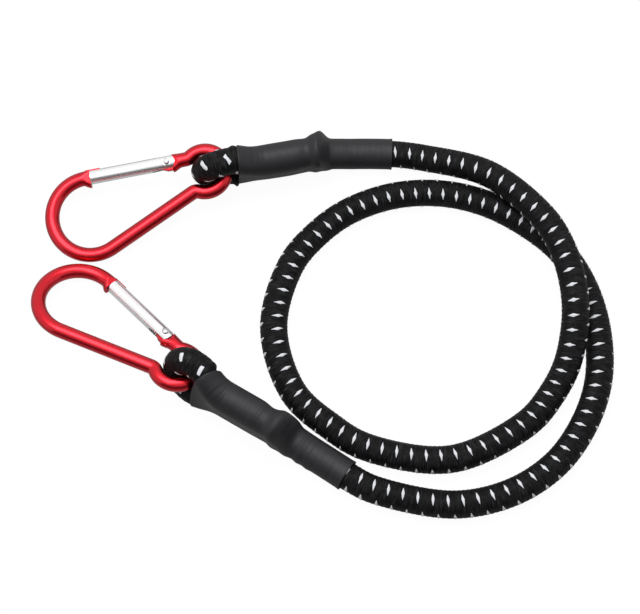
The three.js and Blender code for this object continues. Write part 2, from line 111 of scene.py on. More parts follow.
# Sizes of the shown forms alone
clamp_show_share = 0.45
sleeve_squeeze = 1.3 * mm
squeeze_place = 4 * mm
squeeze_ramp = 2 * mm
squeeze_lead = 1.5 * mm
squeeze_fade = 3 * mm
mouth_lip_rise = 0.2 * mm
mouth_lip_back = 1.5 * mm
mouth_lip_width = 2.5 * mm
cut_lip_rise = 0.14 * mm
cut_lip_width = 0.9 * mm
cut_fade = 22 * mm
cut_turn_share = 0.08
ridge_rise = 0.1 * mm
ridge_count = 3
milled_slope = 0.28
tongue_edge = 0.2 * mm
gate_edge = 0.12 * mm
rivet_rim = 0.1 * mm
floor_drop = 0.1 * mm

# Share of one turn that the skin of a sleeve takes round each strand, and between them
half_share = 0.5
arc_share = 0.34
flat_share = half_share - arc_share
# Just under one turn, so that both sides of a seam meet
whole_turn = 0.999999

# Steps and sides of the meshes
plan_slices = 32
strand_steps = 80
turn_steps = 48
tail_steps = 60
curve_steps = 24
sleeve_steps = 140
clamp_steps = 24
skin_sides = 100
skin_girth = 60 * mm
slice_step = 0.01 * mm
line_step = 0.5 * mm
fewest_steps = 2
end_margin = 0.001
weld_distance = 0.001 * mm
# Half the side of a grid that measures one
unit_half = 0.5
nose_steps = 8
bow_steps = 84
notch_steps = 10
spine_steps = 30
small_steps = 56
neck_steps = 12
heel_steps = 6
rod_sides = 36
pin_sides = 48
gate_sides = 64
rim_steps = 24
spin_steps = 40
head_steps = 8
dome_steps = 6
curl_steps = 24
wire_sides = 10

# Angles over which an edge is broken, softened or kept crisp
broken_angle = math.radians(40)
softened_angle = math.radians(38)
crisp_angle = math.radians(32)
crisp_round_angle = math.radians(50)

# Worked out from these sizes
eye_radius = rod_radius + eye_gap + cord_radius
strand_half = cord_radius + strand_gap / 2
small_radius = eye_radius
notch_radius = rod_radius + notch_gap
rivet_x = gate_span - hinge_setback
plunger_back = rivet_x - tongue_reach - gate_clearance - plunger_length
spring_front = plunger_back - gate_clearance
spring_back = spring_front - spring_curls * spring_pitch - spring_wire
bow_centre = Vector((-bow_setback, bow_radius))
small_centre = Vector((gate_span + small_reach, small_rise))
to_small = small_centre - bow_centre
spine_rise = math.asin((bow_radius - spine_offset) / to_small.length)
spine_slope = spine_rise - math.atan2(to_small.y, to_small.x)

# Free cord from sleeve a to sleeve b, the same points as in the part's source
route = [
    (0.0474, 0.0695, 0.0074), (0.0761, 0.0583, 0.0145), (0.0988, 0.0358, 0.0191),
    (0.1062, 0.0225, 0.0191), (0.1103, 0.008, 0.0186), (0.1117, -0.0061, 0.0168),
    (0.1106, -0.0189, 0.0132), (0.1074, -0.0312, 0.0089), (0.1008, -0.043, 0.0064),
    (0.0906, -0.0551, 0.0062), (0.064, -0.07, 0.0062), (0.0475, -0.0723, 0.0062),
    (0.0188, -0.0661, 0.0062), (0.0053, -0.0578, 0.0062), (-0.0116, -0.0418, 0.0062),
    (-0.0204, -0.012, 0.0062), (-0.0131, 0.0174, 0.0062), (-0.002, 0.032, 0.0062),
    (0.013, 0.0437, 0.0062), (0.034, 0.0514, 0.0062), (0.056, 0.0523, 0.0062),
    (0.076, 0.0471, 0.0062), (0.0946, 0.0363, 0.0062), (0.1081, 0.024, 0.0062),
    (0.1176, 0.007, 0.0062), (0.1224, -0.014, 0.0062), (0.1217, -0.0362, 0.0062),
    (0.1146, -0.056, 0.0062), (0.1016, -0.0739, 0.0062), (0.082, -0.0867, 0.0062),
    (0.057, -0.092, 0.0062), (0.0232, -0.0856, 0.0067),
]


def ease(t):
    t = min(max(t, 0), 1)
    return t * t * (3 - 2 * t)


def mix(start, stop, share):
    return start + (stop - start) * share


def bell(x, width):
    return math.exp(-((x / width) ** 2))


class End:
    """One end of the cord: how its doubled part and its carabiner lie."""

    def __init__(self, name, eye, sleeve_length, clamp_place, tail, headings, leans, slew, tilt):
        self.name = name
        self.eye = Vector((eye[0] * mm, eye[1] * mm, 0)) - middle
        self.stop = mouth_offset + sleeve_length * mm
        self.clamp_place = clamp_place * mm
        self.tail_end = tail[0] * mm
        self.tail_slope = tail[1] * mm
        self.headings = [math.radians(angle) for angle in headings]
        self.leans = [math.radians(angle) for angle in leans]
        self.slew = math.radians(slew)
        self.tilt = math.radians(tilt)

    def heading(self, s):
        eye, fork, cut = self.headings
        bent = mix(eye, fork, ease(s / fork_length))
        return mix(bent, cut, ease((s - fork_length) / (self.stop - fork_length)))

    def plan_point(self, s):
        point = self.eye.copy()
        for k in range(plan_slices):
            angle = self.heading(s * (k + 0.5) / plan_slices)
            point += Vector((math.cos(angle), math.sin(angle), 0)) * (s / plan_slices)
        return point

    def over_clamp(self, s, ramp):
        past_band = abs(s - self.clamp_place) - clamp_width / 2 - clamp_cover
        return (clamp_gap + clamp_wall) * (1 - ease(past_band / ramp))

    def room(self, s):
        return sleeve_gap + self.over_clamp(s, clamp_ramp) * clamp_show_share

    def doubled(self, s):
        """1 where both strands lie in the sleeve, falling to 0 behind the end of the upper one."""
        return 1 - ease((s - self.tail_end) / self.tail_slope)

    def station(self, s):
        """Direction, stacking and side at a distance, then the lower and the upper strand."""
        angle = self.heading(s)
        along = Vector((math.cos(angle), math.sin(angle), 0))
        across = Vector((-math.sin(angle), math.cos(angle), 0))
        lean = mix(*self.leans, ease(s / twist_length))
        stack = across * math.sin(lean) + up * math.cos(lean)
        side = across * math.cos(lean) - up * math.sin(lean)
        opening = (1 - math.cos(math.pi * min(s / fork_length, 1))) / 2
        half = mix(eye_radius, strand_half, opening)
        lower = self.plan_point(s) - across * (half * math.sin(lean))
        in_sleeve = cord_radius + sleeve_gap + self.over_clamp(s, lift_ramp) + sleeve_wall
        lower.z = mix(cord_radius, in_sleeve, ease(s / mouth_offset))
        return along, stack, side, lower, lower + stack * (2 * half)

    def eye_points(self):
        """Centreline up the lower strand, round the eye and back along the upper one."""
        points = []
        sides = []
        down = self.stop - splice_depth
        for k in range(strand_steps):
            along, stack, side, lower, upper = self.station(down * (1 - k / strand_steps))
            points.append(lower)
            sides.append(side)
        along, stack, side, lower, upper = self.station(0)
        centre = (lower + upper) / 2
        for k in range(turn_steps + 1):
            angle = math.pi * k / turn_steps
            around = along * -math.sin(angle) - stack * math.cos(angle)
            points.append(centre + around * eye_radius)
            sides.append(side)
        for k in range(1, tail_steps + 1):
            along, stack, side, lower, upper = self.station(self.tail_end * k / tail_steps)
            points.append(upper)
            sides.append(side)
        return points, sides

    def laid(self):
        """Matrix that lays the flat-drawn carabiner in this end's eye."""
        along, stack, side, lower, upper = self.station(0)
        hinge = along.cross(stack)
        arm = along * math.cos(self.tilt) + stack * math.sin(self.tilt)
        basis = Matrix((arm, hinge, arm.cross(hinge))).transposed().to_4x4()
        turn = Matrix.Rotation(-self.slew, 4, "Z")
        around = Vector((math.cos(self.slew), math.sin(self.slew)))
        pivot = small_centre + around * small_radius
        home = turn @ Vector((pivot.x, pivot.y, 0))
        place = Matrix.Translation((lower + upper) / 2)
        return place @ basis @ Matrix.Translation(-home) @ turn


# Places and lengths in mm, angles in degrees; a tail has its end and the length of its slope
ends = [
    End(
        "a", eye=(-42.5, 61.5), sleeve_length=69.4, clamp_place=43, tail=(41, 7),
        headings=(12.1, 10.6, -1.4), leans=(-11.2, -16.8), slew=-1.6, tilt=5.924,
    ),
    End(
        "b", eye=(-54.2, -38.1), sleeve_length=71.2, clamp_place=45.5, tail=(43, 9),
        headings=(-36.4, -30.7, -33.9), leans=(17.8, -5.6), slew=-11.7, tilt=5.557,
    ),
]


def put(name, data):
    """A new object in the scene."""
    made = bpy.data.objects.new(name, data)
    bpy.context.scene.collection.objects.link(made)
    return made


def object_of(bm, name):
    """A finished mesh as an object."""
    mesh = bpy.data.meshes.new(name)
    bm.to_mesh(mesh)
    bm.free()
    return put(name, mesh)


# Camera at the photograph's angle
view_height = math.radians(70)
view_distance = 850 * mm
image_width = 640
focal_pixels = 1904
sensor_width = 36
aim = -middle
camera_data = bpy.data.cameras.new("camera")
camera_data.sensor_width = sensor_width
camera_data.lens = focal_pixels / image_width * sensor_width
camera = put("camera", camera_data)
back = Vector((0, -math.cos(view_height), math.sin(view_height)))
camera.location = aim + back * view_distance
camera.rotation_euler = (-back).to_track_quat("-Z", "Y").to_euler()
bpy.context.scene.camera = camera
bpy.context.scene.view_settings.view_transform = "Standard"


# Materials
# Name of the map that holds a pattern's place along and round a piece
pattern_map = "length_and_girth"

# Cells a metre in the noise of each finish, along and round a piece
yarn_cells = (3600, 160)
fibre_cells = (9000, 900)
patch_cells = (500, 260)
ripple_cells = (420, 35)
streak_cells = (40, 2400)
# The same through a solid
sleeve_grain_cells = 1500
sleeve_cloud_cells = 110
red_grain_cells = 1400
red_cloud_cells = 160
bright_cloud_cells = 200
scuff_cells = 900
fine_detail = 2
broad_detail = 3

# Sockets of a node that mixes two colours
mix_factor = 0
mix_first = 6
mix_second = 7
mix_result = 2

# Depth of each finish's relief
braid_relief = 0.45 * mm
tracer_relief = 0.2 * mm
sleeve_relief = 0.5 * mm
bright_relief = 0.004 * mm
steel_relief = 0.02 * mm

# Colours, dark to light
# The braid's ramp is partly painted shade: its dark end falls in the gaps between yarns and its light
# end on their crests
braid_stops_with_painted_shade = [
    (0.38, (0.001, 0.001, 0.0012)), (0.51, (0.005, 0.005, 0.0055)), (0.66, (0.034, 0.034, 0.038)),
]
tracer_whites = [(0.66, 0.68, 0.74), (0.95, 0.95, 0.97)]
sleeve_blacks = [(0.009, 0.009, 0.0105), (0.02, 0.02, 0.023)]
anodised_reds = [(0.52, 0.003, 0.012), (0.6, 0.005, 0.018)]
aluminium_greys = [(0.84, 0.84, 0.85), (0.92, 0.92, 0.93)]
steel_greys = [(0.5, 0.5, 0.51), (0.72, 0.72, 0.73)]
card_greys = [(0.12, 0.12, 0.12), (0.6, 0.6, 0.6)]
floor_grey = (0.28, 0.28, 0.28, 1)
plain_white = (1, 1, 1, 1)


class Value:
    """A node's output that can stand in a sum."""

    def __init__(self, nodes, socket):
        self.nodes = nodes
        self.socket = socket

    def math(self, operation, *others):
        return self.nodes.node("ShaderNodeMath", {"operation": operation}, [self, *others])

    def __add__(self, other):
        return self.math("ADD", other)

    def __sub__(self, other):
        return self.math("SUBTRACT", other)

    def __rsub__(self, other):
        return self.nodes.node("ShaderNodeMath", {"operation": "SUBTRACT"}, [other, self])

    def __mul__(self, other):
        return self.math("MULTIPLY", other)

    __radd__ = __add__
    __rmul__ = __mul__


class Nodes:
    """A tree whose nodes are added one by one."""

    def __init__(self, tree):
        self.tree = tree

    def node(self, kind, settings, inputs, output=0):
        made = self.tree.nodes.new(kind)
        for name, value in settings.items():
            if name == "stops":
                self.set_stops(made.color_ramp, value)
            else:
                setattr(made, name, value)
        pairs = inputs.items() if isinstance(inputs, dict) else enumerate(inputs)
        for name, value in pairs:
            if isinstance(value, Value):
                self.tree.links.new(value.socket, made.inputs[name])
            else:
                made.inputs[name].default_value = value
        return Value(self, made.outputs[output])

    def set_stops(self, ramp, stops):
        while len(ramp.elements) < len(stops):
            ramp.elements.new(1)
        for element, (place, colour) in zip(ramp.elements, stops):
            element.position = place
            element.color = (*colour, 1)


class Finish(Nodes):
    """A material, with the nodes that drive its one shader."""

    def __init__(self, name, **constants):
        self.material = bpy.data.materials.new(name)
        self.material.use_nodes = True
        super().__init__(self.material.node_tree)
        self.shader = self.tree.nodes["Principled BSDF"]
        for socket, value in constants.items():
            self.shader.inputs[socket.replace("_", " ")].default_value = value

    def drive(self, **sockets):
        for socket, value in sockets.items():
            self.tree.links.new(value.socket, self.shader.inputs[socket.replace("_", " ")])

    def split(self, vector):
        return [self.node("ShaderNodeSeparateXYZ", {}, [vector], k) for k in range(3)]

    def object_place(self):
        return self.node("ShaderNodeTexCoord", {}, [], "Object")

    def noise(self, place, cells, detail):
        inputs = {"Vector": place, "Scale": cells, "Detail": detail}
        return self.node("ShaderNodeTexNoise", {}, inputs)

    def noise_through(self, cells, detail):
        """Noise with so many cells a metre through the solid."""
        return self.noise(self.object_place(), cells, detail)

    def noise_over(self, cells):
        """Noise with so many cells a metre along and round the piece."""
        along, girth, _ = self.split(self.node("ShaderNodeUVMap", {"uv_map": pattern_map}, []))
        parts = {"X": along * cells[0], "Y": girth * cells[1]}
        return self.noise(self.node("ShaderNodeCombineXYZ", {}, parts), 1, fine_detail)

    def blend(self, share, first, second):
        inputs = {mix_factor: share, mix_first: (*first, 1), mix_second: (*second, 1)}
        return self.node("ShaderNodeMix", {"data_type": "RGBA"}, inputs, mix_result)

    def bump(self, height, depth):
        self.drive(Normal=self.node("ShaderNodeBump", {}, {"Height": height, "Distance": depth}))


def braid_finish():
    finish = Finish("black_braid", Specular_IOR_Level=0.1)
    yarns = finish.noise_over(yarn_cells)
    fibres = finish.noise_over(fibre_cells)
    patches = finish.noise_over(patch_cells)
    # Painted shade: the colour follows mostly the same yarn noise as the bump, so the gaps between
    # yarns are darker and the crests lighter; fibres and patches add tone that varies at random
    yarn_tone_and_painted_shade = yarns * 0.55 + fibres * 0.2 + patches * 0.25
    finish.drive(Base_Color=finish.node("ShaderNodeValToRGB", {"stops": braid_stops_with_painted_shade}, [yarn_tone_and_painted_shade]))
    finish.drive(Roughness=0.62 - yarn_tone_and_painted_shade * 0.3)
    finish.bump(yarns * 0.8 + fibres * 0.2, braid_relief)
    return finish.material


def tracer_finish():
    finish = Finish("white_tracer_yarn", Specular_IOR_Level=0.3)
    yarns = finish.noise_over(yarn_cells)
    finish.drive(Base_Color=finish.blend(yarns, *tracer_whites))
    finish.drive(Roughness=0.7 - yarns * 0.2)
    finish.bump(yarns, tracer_relief)
    return finish.material


def sleeve_finish():
    finish = Finish("shrunk_sleeve", IOR=1.5, Specular_IOR_Level=0.33)
    ripples = finish.noise_over(ripple_cells)
    grain = finish.noise_through(sleeve_grain_cells, fine_detail)
    clouds = finish.noise_through(sleeve_cloud_cells, broad_detail)
    finish.drive(Base_Color=finish.blend(clouds * 0.7 + ripples * 0.3, *sleeve_blacks))
    finish.drive(Roughness=0.42 + clouds * 0.16 + grain * 0.06)
    finish.bump(ripples * 0.85 + grain * 0.15, sleeve_relief)
    return finish.material


def anodised_finish():
    finish = Finish(
        "red_anodised", Metallic=1, Coat_Weight=0.5, Coat_Roughness=0.2, Coat_IOR=1.5
    )
    grain = finish.noise_through(red_grain_cells, fine_detail)
    clouds = finish.noise_through(red_cloud_cells, broad_detail)
    finish.drive(Base_Color=finish.blend(clouds, *anodised_reds))
    finish.drive(Roughness=0.26 + clouds * 0.06 + grain * 0.02)
    return finish.material


def aluminium_finish():
    finish = Finish("bright_aluminium", Metallic=1)
    streaks = finish.noise_over(streak_cells)
    clouds = finish.noise_through(bright_cloud_cells, broad_detail)
    finish.drive(Base_Color=finish.blend(clouds, *aluminium_greys))
    finish.drive(Roughness=0.16 + streaks * 0.08)
    finish.bump(streaks, bright_relief)
    return finish.material


def steel_finish():
    finish = Finish("plain_steel", Metallic=1)
    scuffs = finish.noise_through(scuff_cells, broad_detail)
    finish.drive(Base_Color=finish.blend(scuffs, *steel_greys))
    finish.drive(Roughness=0.2 + scuffs * 0.2)
    finish.bump(scuffs, steel_relief)
    return finish.material


black_braid = braid_finish()
white_tracer = tracer_finish()
shrunk_sleeve = sleeve_finish()
red_anodised = anodised_finish()
bright_aluminium = aluminium_finish()
plain_steel = steel_finish()


# Making pieces
def piece_of(bm, name, body, material):
    """A finished mesh as a piece that rides on its body."""
    made = object_of(bm, name)
    made.data.materials.append(material)
    made.data.shade_smooth()
    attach(made, body)
    return made


def flat_place(point):
    """The flat drawing's x and y."""
    return point.xy


def write_uv(bm, place_of=flat_place):
    """Stores each point's place along and round the piece for its pattern."""
    layer = bm.loops.layers.uv.new(pattern_map)
    for face in bm.faces:
        for loop in face.loops:
            loop[layer].uv = place_of(loop.vert.co)


def flat_grid(bm, length, girth, steps, sides):
    """A flat sheet from x = 0 to length and y = 0 to girth."""
    place = Matrix.Translation((length / 2, girth / 2, 0)) @ Matrix.Diagonal((length, girth, 1, 1))
    bmesh.ops.create_grid(bm, x_segments=steps, y_segments=sides, size=unit_half, matrix=place)


class Line:
    """A centreline with evenly spaced points and a sideways direction at each."""

    def __init__(self, points, sides):
        lengths = [0.0]
        for first, second in zip(points, points[1:]):
            lengths.append(lengths[-1] + (second - first).length)
        self.length = lengths[-1]
        count = max(fewest_steps, round(self.length / line_step))
        self.step = self.length / count
        self.points = []
        self.sides = []
        at = 0
        for k in range(count + 1):
            s = k * self.step
            while at < len(points) - 2 and lengths[at + 1] < s:
                at += 1
            share = (s - lengths[at]) / (lengths[at + 1] - lengths[at])
            self.points.append(points[at].lerp(points[at + 1], share))
            self.sides.append(sides[at].lerp(sides[at + 1], share))
        self.ways = []
        for k in range(count + 1):
            ahead = self.points[min(k + 1, count)]
            behind = self.points[max(k - 1, 0)]
            self.ways.append((ahead - behind).normalized())

    def at(self, s):
        """Point, direction, side and top at a distance along the line."""
        place = min(max(s / self.step, 0), len(self.points) - 1 - end_margin)
        k = int(place)
        share = place - k
        centre = self.points[k].lerp(self.points[k + 1], share)
        way = self.ways[k].lerp(self.ways[k + 1], share).normalized()
        side = self.sides[k].lerp(self.sides[k + 1], share)
        side = (side - way * side.dot(way)).normalized()
        return centre, way, side, side.cross(way)


def wrap_round(bm, line, radius):
    """Rolls a flat drawing of length, girth and height round a centreline."""
    for vert in bm.verts:
        centre, way, side, top = line.at(vert.co.x)
        angle = vert.co.y / radius
        out = top * math.cos(angle) + side * math.sin(angle)
        vert.co = centre + out * (radius + vert.co.z)


def weld(bm):
    """Joins what meets and points the faces outwards."""
    bmesh.ops.remove_doubles(bm, verts=bm.verts, dist=weld_distance)
    bmesh.ops.recalc_face_normals(bm, faces=bm.faces)


def close_tube(bm):
    """Joins the seam, closes the ends and points the faces outwards."""
    bmesh.ops.remove_doubles(bm, verts=bm.verts, dist=weld_distance)
    open_edges = [edge for edge in bm.edges if edge.is_boundary]
    bmesh.ops.holes_fill(bm, edges=open_edges, sides=0)
    bmesh.ops.recalc_face_normals(bm, faces=bm.faces)


# Braided cord
fleck_pitch = 6.4 * mm
floats_a_fleck = 3
float_pitch = fleck_pitch / floats_a_fleck
float_half_width = 1.05 * mm
float_half_length = 3.1 * mm
float_slope = math.tan(math.radians(-4.5))
float_edge = 0.1 * mm
float_rise = 0.26 * mm
sunk_share = 0.6
braid_step = 0.525 * mm
columns = 8
sides_a_column = 6
girth = 2 * math.pi * cord_radius
column_width = girth / columns
fleck_sides = 4
fleck_steps = 8
fleck_rise = 0.24 * mm
fleck_sink = 0.02 * mm
fleck_fullness = 0.4
fleck_margin = 1 * mm
# Half edges of a fleck of the free cord, along and round it, in mm
free_fleck_long = (0.36, 3)
free_fleck_short = (0.82, 0)


def float_height(x, y):
    """Height of the braid's yarn bundles over its plain tube."""
    best = 0
    first = math.floor(y / column_width)
    for column in range(first - 1, first + 3):
        dy = y - column * column_width
        share = 1 - (dy / float_half_length) ** 2
        if share <= 0:
            continue
        lean = float_slope if column % 2 else -float_slope
        start = 0 if column % 2 else float_pitch / 2
        dx = x - dy * lean - start
        dx -= float_pitch * round(dx / float_pitch)
        across = 1 - (dx / (float_half_width * share + float_edge)) ** 2
        if across > 0:
            best = max(best, math.sqrt(across * share))
    return best * float_rise


def braided_cover(name, line, body, pressed, gathers=()):
    """Braided jacket round a line, drawn in where it is pressed and gathered up in places."""
    bm = bmesh.new()
    steps = round(line.length / braid_step)
    flat_grid(bm, line.length, girth, steps, columns * sides_a_column)
    write_uv(bm)
    for vert in bm.verts:
        rise = float_height(vert.co.x, vert.co.y % (girth * whole_turn))
        vert.co.z = rise - sunk_share * float_rise - pressed(vert.co.x) * sleeve_squeeze
        for place, width, height, angle in gathers:
            facing = math.cos(vert.co.y / cord_radius - math.radians(angle))
            vert.co.z += height * mm * bell(vert.co.x - place, width * mm) * max(facing, 0) ** 2
    wrap_round(bm, line, cord_radius)
    close_tube(bm)
    return piece_of(bm, name, body, black_braid)


def along_marks(marks, at):
    """Value between listed marks of place and value."""
    for (start, low), (stop, high) in zip(marks, marks[1:]):
        if at <= stop:
            return mix(low, high, max(at - start, 0) / (stop - start))
    return marks[-1][1]


def tracer_flecks(name, line, body, places, twists, span, long_half, short_half, taper):
    """White yarn bundles in four rows round the cord, the side rows half-way between."""
    bm = bmesh.new()
    halfway = [(first + second) / 2 for first, second in zip(places, places[1:])]
    rows = (places, halfway, places, halfway)
    for row, row_places in enumerate(rows):
        for x in row_places:
            if not span[0] < x < span[1]:
                continue
            turned = math.radians(along_marks(twists, x / mm))
            y = row * girth / len(rows) + turned * cord_radius
            made = bmesh.ops.create_grid(bm, x_segments=fleck_sides, y_segments=fleck_steps, size=1)
            for vert in made["verts"]:
                across, length = vert.co.x, vert.co.y
                swell = (1 - across * across) * (1 - length * length)
                across *= 1 - taper * abs(length)
                vert.co.x = x + (length * long_half[0] + across * short_half[0]) * mm
                vert.co.y = y + (length * long_half[1] + across * short_half[1]) * mm
                vert.co.z = fleck_rise * swell**fleck_fullness - fleck_sink
    write_uv(bm)
    wrap_round(bm, line, cord_radius)
    bmesh.ops.remove_doubles(bm, verts=bm.verts, dist=weld_distance)
    return piece_of(bm, name, body, white_tracer)


def spline_through(points, steps):
    """Centripetal curve through the points, as the part's source draws it."""
    first = points[0] * 2 - points[1]
    last = points[-1] * 2 - points[-2]
    padded = [first, *points, last]
    curve = []
    for k in range(len(points) - 1):
        p0, p1, p2, p3 = padded[k : k + 4]
        d0 = math.sqrt((p1 - p0).length)
        d1 = math.sqrt((p2 - p1).length)
        d2 = math.sqrt((p3 - p2).length)
        t1 = ((p1 - p0) / d0 - (p2 - p0) / (d0 + d1) + (p2 - p1) / d1) * d1
        t2 = ((p2 - p1) / d1 - (p3 - p1) / (d1 + d2) + (p3 - p2) / d2) * d1
        for j in range(steps):
            t = j / steps
            curve.append(
                p1 + t1 * t + (p1 * -3 + p2 * 3 - t1 * 2 - t2) * t * t
                + (p1 * 2 - p2 * 2 + t1 + t2) * t * t * t
            )
    curve.append(points[-1])
    return curve


def lead_points(end):
    """Points that lead the free cord out of the sleeve."""
    splice = end.stop - splice_depth + joint_gap
    places = [splice, splice + splice_lead, end.stop - splice_lead / 2, end.stop + splice_lead]
    return [end.station(s)[3] for s in places]


free_points = [
    *lead_points(ends[0]),
    *[Vector(point) - middle for point in route],
    *reversed(lead_points(ends[1])),
]
free_curve = spline_through(free_points, curve_steps)
free_sides = []
for k in range(len(free_curve)):
    way = free_curve[min(k + 1, len(free_curve) - 1)] - free_curve[max(k - 1, 0)]
    free_sides.append(way.cross(up).normalized())
free_line = Line(free_curve, free_sides)

# Number of a fleck of the top row and its place along the cord in mm
fleck_marks = [(0, 7.2), (18, 127.2), (72, 471.2), (109, 710.8)]
# Place along the cord in mm and how far the top row has turned there in degrees
twist_marks = [
    (0, 12), (50, 20), (80, 18), (170, 12), (200, 2), (226, 7), (255, 0), (280, 0), (310, 12),
    (345, 20), (410, 20), (455, 28), (545, 9), (572, 14), (625, 12), (680, 0), (716, 14),
]


def free_pressed(x):
    from_end = min(x, free_line.length - x)
    return 1 - ease((from_end - squeeze_place) / squeeze_ramp)


fleck_count = fleck_marks[-1][0] + 1
free_places = [along_marks(fleck_marks, k) * mm for k in range(fleck_count)]
free_cord = braided_cover("cord_jacket", free_line, "cord", free_pressed)
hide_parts("cord_cover", "cord_core")
free_flecks = tracer_flecks(
    "cord_tracer_flecks", free_line, "cord", free_places, twist_marks, (0, free_line.length),
    free_fleck_long, free_fleck_short, taper=1,
)


# Eyes, sleeves and clamps
# A place along the eye and the pitch in mm, the turn in degrees, then each half edge along and
# round the cord in mm
eye_flecks = {
    "a": (93.9, 7.6, 3, (0.9, 2.1), (-0.5, 0.75)),
    "b": (97.7, 8.8, 30, (0.55, 2.2), (0.55, -0.4)),
}
# Place before the upper mouth, width and height in mm, then the side it faces in degrees
eye_gathers = {
    "a": [(1.9, 1.2, 0.8, 90)],
    "b": [(1.2, 1.2, 0.4, 90)],
}
# The same past the lower mouth
fork_gathers = {"a": [(3.8, 1.2, 1.9, 270)], "b": []}
# Flecks of an eye, counted from the place above
eye_fleck_counts = range(-6, 5)


def make_eye(end):
    line = Line(*end.eye_points())
    fork_start = end.stop - splice_depth
    low_mouth = fork_start - mouth_offset
    high_mouth = fork_start + math.pi * eye_radius + mouth_offset

    def pressed(x):
        past_mouth = max(low_mouth - x, x - high_mouth) + squeeze_lead
        return ease(past_mouth / squeeze_fade)

    gathers = [(high_mouth - back * mm, *rest) for back, *rest in eye_gathers[end.name]]
    gathers += [(low_mouth + back * mm, *rest) for back, *rest in fork_gathers[end.name]]
    cover = braided_cover("eye_jacket_" + end.name, line, "cord", pressed, gathers)
    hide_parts("eye_cover_" + end.name, "eye_core_" + end.name)
    place, pitch, angle, long_half, short_half = eye_flecks[end.name]
    places = [(place + k * pitch) * mm for k in eye_fleck_counts]
    span = (low_mouth + fleck_margin, high_mouth - fleck_margin)
    tracer_flecks(
        "eye_tracer_flecks_" + end.name, line, "cord", places, [(0, angle)], span,
        long_half, short_half, taper=0,
    )


def skin_point(end, s, turn, radius):
    """Point at a share of one turn on a skin drawn tight round both strands."""
    along, stack, side, lower, upper = end.station(s)
    upper = lower.lerp(upper, end.doubled(s))
    if turn < arc_share:
        angle = math.pi * turn / arc_share
        return lower + (side * math.cos(angle) - stack * math.sin(angle)) * radius
    if turn < half_share:
        return lower.lerp(upper, (turn - arc_share) / flat_share) - side * radius
    if turn < half_share + arc_share:
        angle = math.pi * (turn - half_share) / arc_share
        return upper + (stack * math.sin(angle) - side * math.cos(angle)) * radius
    return upper.lerp(lower, (turn - half_share - arc_share) / flat_share) + side * radius


def skin_tube(bm, end, start, stop, steps, radius, lump, cut=(0, 0)):
    """Bends a flat sheet into a skin round both strands, with lumps on it."""
    flat_grid(bm, stop - start, skin_girth, steps, skin_sides)
    write_uv(bm)
    centres = {}
    for vert in bm.verts:
        turn = min(vert.co.y / skin_girth, 1) % whole_turn
        set_back = cut[0] + cut[1] * math.cos(2 * math.pi * (turn + cut_turn_share))
        s = start + vert.co.x + set_back * mm * (1 - ease(vert.co.x / cut_fade))
        point = skin_point(end, s, turn, radius(s))
        key = round(s / slice_step)
        if key not in centres:
            along, stack, side, lower, upper = end.station(s)
            centres[key] = (lower.lerp(upper, end.doubled(s) / 2), side, stack)
        centre, side, stack = centres[key]
        out = (point - centre).normalized()
        point += out * lump(s, out.dot(side), out.dot(stack))
        point.z = max(point.z, 0)
        vert.co = point
    weld(bm)


def thicken(made, wall):
    """Gives a skin its wall, inwards."""
    solid = made.modifiers.new("wall", "SOLIDIFY")
    solid.thickness = wall
    solid.offset = -1
    solid.use_even_offset = False


# Place along the sleeve, width and rise in mm, then how far it faces sideways and upwards
lumps = {
    "a": [
        (44, 2.6, 2.5, 0.8, 0.55), (39.8, 2.8, 0.9, 1, 0.1), (37, 3, -1.3, 0, 1),
        (26, 12, 0.8, -1, 0), (41, 1.3, 0.6, -1, 0), (10.5, 5, -1.5, 1, 0),
    ],
    "b": [
        (37.5, 3.2, -1.3, 0.3, 1), (43.5, 1.6, 0.5, -1, 0), (50.5, 2, 0.6, -1, 0.2),
        (56, 1.6, 0.45, -1, 0.1), (61, 1.8, 0.3, -1, 0), (47, 3, 0.4, 1, 0.1),
        (9, 5, -0.6, 1, 0),
    ],
}
# How far the mouth is set back all round, and how much more on one side, in mm
mouth_cuts = {"a": (-0.9, 0.9), "b": (0.8, 4)}


def make_sleeve(end):
    def radius(s):
        return cord_radius + end.room(s) + sleeve_wall

    def lump(s, sideways, stacked):
        height = mouth_lip_rise * bell(s - mouth_offset - mouth_lip_back, mouth_lip_width)
        height += cut_lip_rise * bell(s - end.stop, cut_lip_width)
        for place, width, rise, side_share, stack_share in lumps[end.name]:
            facing = max(sideways * side_share + stacked * stack_share, 0)
            height += rise * mm * bell(s - place * mm, width * mm) * facing**2
        return height

    bm = bmesh.new()
    cut = mouth_cuts[end.name]
    skin_tube(bm, end, mouth_offset, end.stop, sleeve_steps, radius, lump, cut)
    sleeve = piece_of(bm, "shrink_sleeve_" + end.name, "cord", shrunk_sleeve)
    thicken(sleeve, sleeve_wall)
    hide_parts("heat_shrink_sleeve_" + end.name)


def make_clamp(end):
    start = end.clamp_place - clamp_width / 2

    def radius(s):
        return cord_radius + clamp_gap + clamp_wall

    def ridge(s, sideways, stacked):
        return ridge_rise * math.sin(2 * math.pi * ridge_count * (s - start) / clamp_width)

    bm = bmesh.new()
    skin_tube(bm, end, start, start + clamp_width, clamp_steps, radius, ridge)
    band = piece_of(bm, "clamp_band_" + end.name, "cord", plain_steel)
    thicken(band, clamp_wall)
    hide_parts("crimp_clamp_" + end.name)


# Carabiners, drawn flat: the gate lies along +x from the nose at x = 0
lying_along = Matrix.Rotation(math.pi / 2, 4, "Y")


def bend(centre, radius, start, stop, steps):
    """Points and headings along an arc."""
    turn = math.copysign(math.pi / 2, stop - start)
    places = []
    for k in range(steps + 1):
        angle = mix(start, stop, k / steps)
        point = centre + Vector((math.cos(angle), math.sin(angle))) * radius
        places.append((point, angle + turn))
    return places


